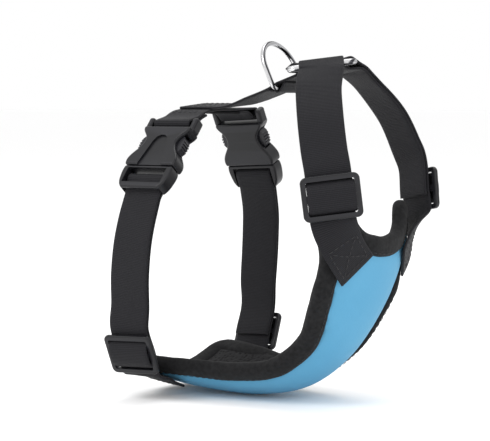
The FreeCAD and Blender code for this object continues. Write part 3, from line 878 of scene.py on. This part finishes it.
def closed_grid(name, outer, inner):
    """One closed mesh from two facing grids of the same size."""
    rows, columns = len(outer), len(outer[0])
    verts = [p for line in outer for p in line] + [p for line in inner for p in line]
    back = rows * columns
    faces = []
    for i in range(rows - 1):
        for j in range(columns - 1):
            a = i * columns + j
            faces.append((a, a + 1, a + columns + 1, a + columns))
            faces.append((back + a, back + a + columns, back + a + columns + 1, back + a + 1))
    rim = [j for j in range(columns)] + [i * columns + columns - 1 for i in range(1, rows)]
    rim += [(rows - 1) * columns + j for j in range(columns - 2, -1, -1)]
    rim += [i * columns for i in range(rows - 2, 0, -1)]
    for a, b in zip(rim, rim[1:] + rim[:1]):
        faces.append((a, b, back + b, back + a))
    return mesh_object(name, verts, faces)


CLOTH_STEPS = 14


def swell(obj, voxel, pressure, cap):
    """Pump the padded form up as cloth, and let no point go further than cap millimetres."""
    remesh = obj.modifiers.new("remesh", "REMESH")
    remesh.mode = "VOXEL"
    remesh.voxel_size = voxel * MM
    apply_modifiers(obj)
    rest = [v.co.copy() for v in obj.data.vertices]
    cloth = obj.modifiers.new("cloth", "CLOTH")
    cloth.settings.quality = 4
    cloth.settings.mass = 0.2
    cloth.settings.use_pressure = True
    cloth.settings.uniform_pressure_force = pressure
    cloth.settings.effector_weights.gravity = 0.0
    scene = bpy.context.scene
    for step in range(1, CLOTH_STEPS + 1):
        scene.frame_set(step)
    apply_modifiers(obj)
    for v, p in zip(obj.data.vertices, rest):
        move = v.co - p
        if move.length > cap * MM:
            v.co = p + move.normalized() * (cap * MM)
    scene.frame_set(1)
    return obj


def build_pad():
    inset = ROLL_HALF_WIDTH * 2 - COVER_TUCK
    shell = closed_grid(
        "pad_cushion",
        pad_grid(inset, COVER_REAR, lambda edge: 1.4 - 1.2 * min(1, edge * 5) ** 0.5),
        pad_grid(inset, COVER_REAR, lambda edge: COVER_DEPTH),
    )
    swell(shell, voxel=3.2, pressure=2.0, cap=1.4)
    for polygon in shell.data.polygons:     # the swelling above makes new faces
        polygon.use_smooth = True
    smooth = shell.modifiers.new("smooth", "SUBSURF")
    smooth.levels = smooth.render_levels = 1
    finish_piece(shell, "cover", "pad_fabric", "harness", "pad_outer_shell", "pad_foam_core")

    faces = [pad_grid(inset - 1.0, LINING_REAR, lambda edge, depth=depth: depth + min(1, edge * 4))
             for depth in LINING_DEPTHS]
    lining = closed_grid("pad_lining", *faces)
    for v in lining.data.vertices:
        v.co.z += 0.0004 * noise.noise(v.co * 60)
    finish_piece(lining, "lining", "pad_mesh", "harness", "pad_mesh_lining")


ROLL_REAR = 0.19        # the rolled edge's rear run, in pad stations
ROLL_CORNER = 0.25
ROLL_SIDE = [0.45] + [0.9 + 0.4 * k for k in range(15)]


def roll_half(side):
    """Half of the rolled edge, from the middle of the rear to the middle of the neckline."""
    path = [on_pad(ROLL_REAR, y, ROLL_DEPTH) for y in (0, 18, 32)]
    path.append(on_pad(ROLL_CORNER, pad_row(0.2)[2] - ROLL_HALF_WIDTH - 3.0, ROLL_DEPTH))
    for s in ROLL_SIDE:
        swing = max(0.0, min(1.0, (s - 0.9) / 1.2, (6.0 - s) / 0.8))
        spread, lift = (0.0, FAR_ROLL_LIFT * swing) if side > 0 else (NEAR_ROLL_SPREAD * swing, 0.0)
        path.append(on_pad(s, pad_row(s)[2] - ROLL_HALF_WIDTH + spread, ROLL_DEPTH - lift))
    for y, z in HORN_TIP:
        path.append(on_pad(pad_height(y, z, ROLL_DEPTH), y, ROLL_DEPTH))
    for y in (20, 10, 0):
        path.append(on_pad(neckline(y, ROLL_HALF_WIDTH), y, ROLL_DEPTH))
    return [(Vector((p.x, side * p.y, p.z)), Vector((n.x, side * n.y, n.z))) for p, n in path]


def roll_path():
    return roll_half(1) + roll_half(-1)[-2:0:-1]


ROLL_SIDES = 24
ROLL_POWER = 2.6        # 2 would make the roll's section an ellipse, and more makes it squarer


def build_binding():
    """The rolled edge: a flattened tube right round the pad, a little uneven as hand sewn rolls are."""
    knots = [(*p, *n) for p, n in roll_path()]
    wrapped = knots[-2:] + knots + knots[:3]
    smooth = blend_rows(wrapped, 12)
    path = [(Vector(r[:3]), Vector(r[3:]).normalized()) for r in smooth[24:-24]]
    path = resample(path, 1.8)[:-1]
    verts, faces = [], []
    count, ring = len(path), ROLL_SIDES
    for i, (p, n) in enumerate(path):
        along = (path[(i + 1) % count][0] - path[i - 1][0]).normalized()
        side = along.cross(n).normalized()
        out = side.cross(along)
        for j in range(ring):
            angle = 2 * math.pi * j / ring
            power = ROLL_POWER
            squarish = 1 / (abs(math.cos(angle)) ** power + abs(math.sin(angle)) ** power) ** (1 / power)
            a = ROLL_HALF_WIDTH * squarish * math.cos(angle)
            h = ROLL_HALF_THICK * squarish * math.sin(angle)
            spot = p + side * a + out * h
            wobble = 0.35 * noise.noise(spot * 0.09) + 0.12 * noise.noise(spot * 0.35)
            verts.append(spot + (side * a + out * h).normalized() * wobble)
    for i in range(count):
        for j in range(ring):
            k, m = (i + 1) % count, (j + 1) % ring
            faces.append((i * ring + j, i * ring + m, k * ring + m, k * ring + j))
    roll = mesh_object("pad_binding", verts, faces)
    finish_piece(roll, "binding", "binding_fabric", "harness", "pad_edge_binding")
    line = []
    for i, (p, n) in enumerate(path):
        side = (path[(i + 1) % count][0] - path[i - 1][0]).cross(n).normalized()
        line.append((p - side * (ROLL_HALF_WIDTH * 0.55) + n * (ROLL_HALF_THICK * 0.94), n))
    stitches("binding_stitch", line, length=2.8, gap=1.2, radius=0.15)


build_straps()
build_pad()
build_binding()


# ---- floor, light and camera

FLOOR_HALF = 40.0       # metres
FLOOR_Z = -1.2


def build_stage():
    size, low = FLOOR_HALF, (FLOOR_Z - GIRTH_CENTRE.z) * MM
    mesh = bpy.data.meshes.new("floor")
    mesh.from_pydata([(-size, -size, low), (size, -size, low), (size, size, low), (-size, size, low)], [],
                     [(0, 1, 2, 3)])
    floor = bpy.data.objects.new("floor", mesh)
    bpy.context.scene.collection.objects.link(floor)
    material, shader, make, links = node_maker("studio_floor")
    shader.inputs["Base Color"].default_value = (0.99, 0.99, 0.99, 1)
    shader.inputs["Roughness"].default_value = 0.9
    floor.data.materials.append(material)
    world = bpy.data.worlds.new("studio")
    world.use_nodes = True
    background = world.node_tree.nodes["Background"]
    background.inputs["Color"].default_value = (1, 1, 1, 1)
    background.inputs["Strength"].default_value = 1.0
    bpy.context.scene.world = world
    bpy.context.scene.view_settings.view_transform = "Standard"


def area_light(name, at, target, size, power):
    data = bpy.data.lights.new(name, "AREA")
    data.shape = "RECTANGLE"
    data.size, data.size_y = size
    data.energy = power
    lamp = bpy.data.objects.new(name, data)
    lamp.location = at
    lamp.rotation_euler = (Vector(target) - Vector(at)).to_track_quat("-Z", "Y").to_euler()
    bpy.context.scene.collection.objects.link(lamp)


CAMERA_AZIMUTH = 35.0
CAMERA_DISTANCE = 1.0   # metres
CAMERA_DIP = 3.87
CAMERA_TARGET_Z = 99.9
FOCAL_MM = 126.4
SENSOR_MM = 36.0


def build_camera():
    azimuth, dip = math.radians(CAMERA_AZIMUTH), math.radians(CAMERA_DIP)
    ahead = Vector((-math.sin(azimuth) * math.cos(dip), math.cos(azimuth) * math.cos(dip), -math.sin(dip)))
    target = place(Vector((0, 0, CAMERA_TARGET_Z)))
    data = bpy.data.cameras.new("camera")
    data.lens = FOCAL_MM
    data.sensor_width = SENSOR_MM
    camera = bpy.data.objects.new("camera", data)
    camera.location = target - ahead * CAMERA_DISTANCE
    camera.rotation_euler = ahead.to_track_quat("-Z", "Y").to_euler()
    bpy.context.scene.collection.objects.link(camera)
    bpy.context.scene.camera = camera


build_stage()
area_light("key", (-0.5, -1.3, 1.3), (0, 0, 0), (0.9, 0.9), 14)
area_light("fill", (1.5, -0.6, 0.6), (0, 0, 0), (1.2, 1.2), 6)
area_light("top", (0.1, 0.5, 1.6), (0, 0, 0), (1.2, 1.0), 9)
build_camera()
